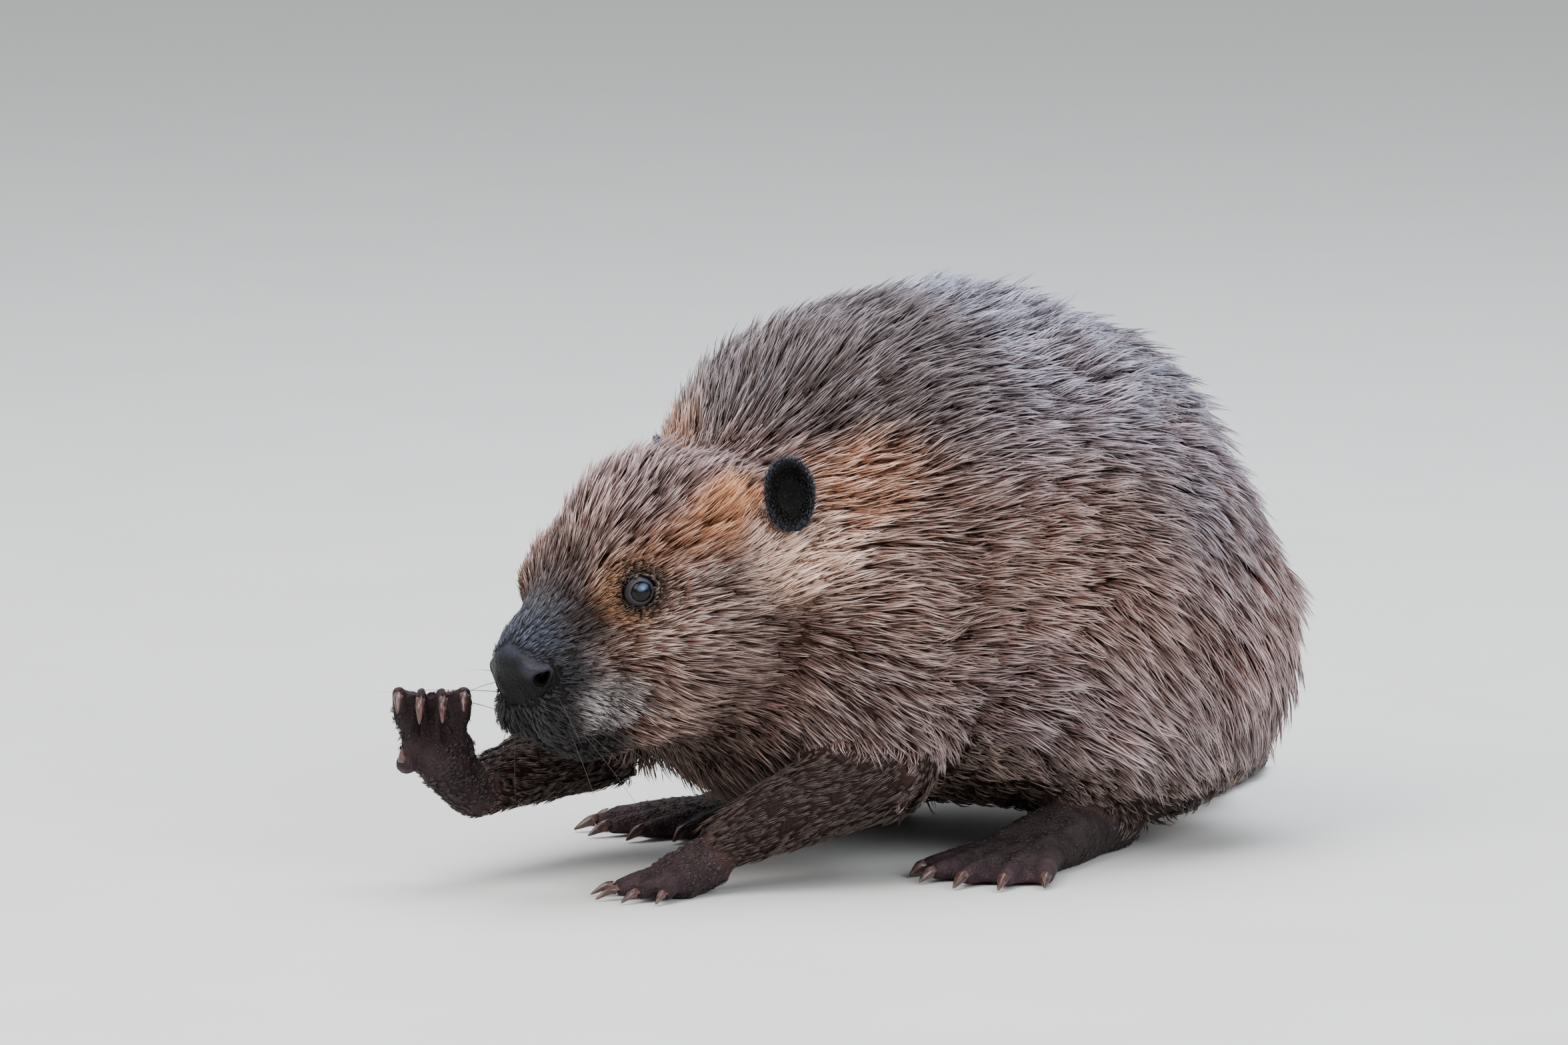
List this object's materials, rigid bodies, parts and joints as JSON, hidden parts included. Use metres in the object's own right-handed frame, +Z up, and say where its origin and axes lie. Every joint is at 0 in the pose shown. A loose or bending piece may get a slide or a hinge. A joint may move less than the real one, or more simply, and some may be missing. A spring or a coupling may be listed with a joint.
{
  "type": "beaver",
  "caption": "Adult beaver, life size, crouched on its hind feet and one forepaw with the other forepaw raised in a curl below its nose; dense brown coat and flat scaly tail.",
  "frame": {"origin": "on the floor, below the middle of the whole animal's bounding box", "axes": "+Z up; the beaver faces -Y and its own left side is +X"},
  "size_m": [0.372, 0.6414, 0.2681],
  "materials": {
    "coat": "dense brown guard hair over soft underfur, damp and clumped into pointed locks",
    "ear_skin": "short black fuzz",
    "nose_pad": "finely grained black skin, damp",
    "eyes": "wet gloss, dark brown with a black pupil",
    "bare_skin": "dark wrinkled skin, damp",
    "claws": "smooth reddish-brown horn",
    "tail_scales": "dark leathery scales"
  },
  "bodies": {
    "root": {"head": "coat", "nose": "nose_pad", "neck": "coat", "trunk": "coat", "tail_root": "coat", "tail_blade": "tail_scales", "ear_left": "ear_skin", "eye_left": "eyes", "foreleg_left": "coat", "forepaw_left": "bare_skin", "hind_leg_left": "coat", "hind_foot_left": "bare_skin", "fore_claw_left_1": "claws", "fore_claw_left_2": "claws", "fore_claw_left_3": "claws", "fore_claw_left_4": "claws", "fore_claw_left_5": "claws", "hind_claw_left_1": "claws", "hind_claw_left_2": "claws", "hind_claw_left_3": "claws", "hind_claw_left_4": "claws", "hind_claw_left_5": "claws", "ear_right": "ear_skin", "eye_right": "eyes", "foreleg_right": "coat", "forepaw_right": "bare_skin", "hind_leg_right": "coat", "hind_foot_right": "bare_skin", "fore_claw_right_1": "claws", "fore_claw_right_2": "claws", "fore_claw_right_3": "claws", "fore_claw_right_4": "claws", "fore_claw_right_5": "claws", "hind_claw_right_1": "claws", "hind_claw_right_2": "claws", "hind_claw_right_3": "claws", "hind_claw_right_4": "claws", "hind_claw_right_5": "claws"}
  },
  "joints": []
}
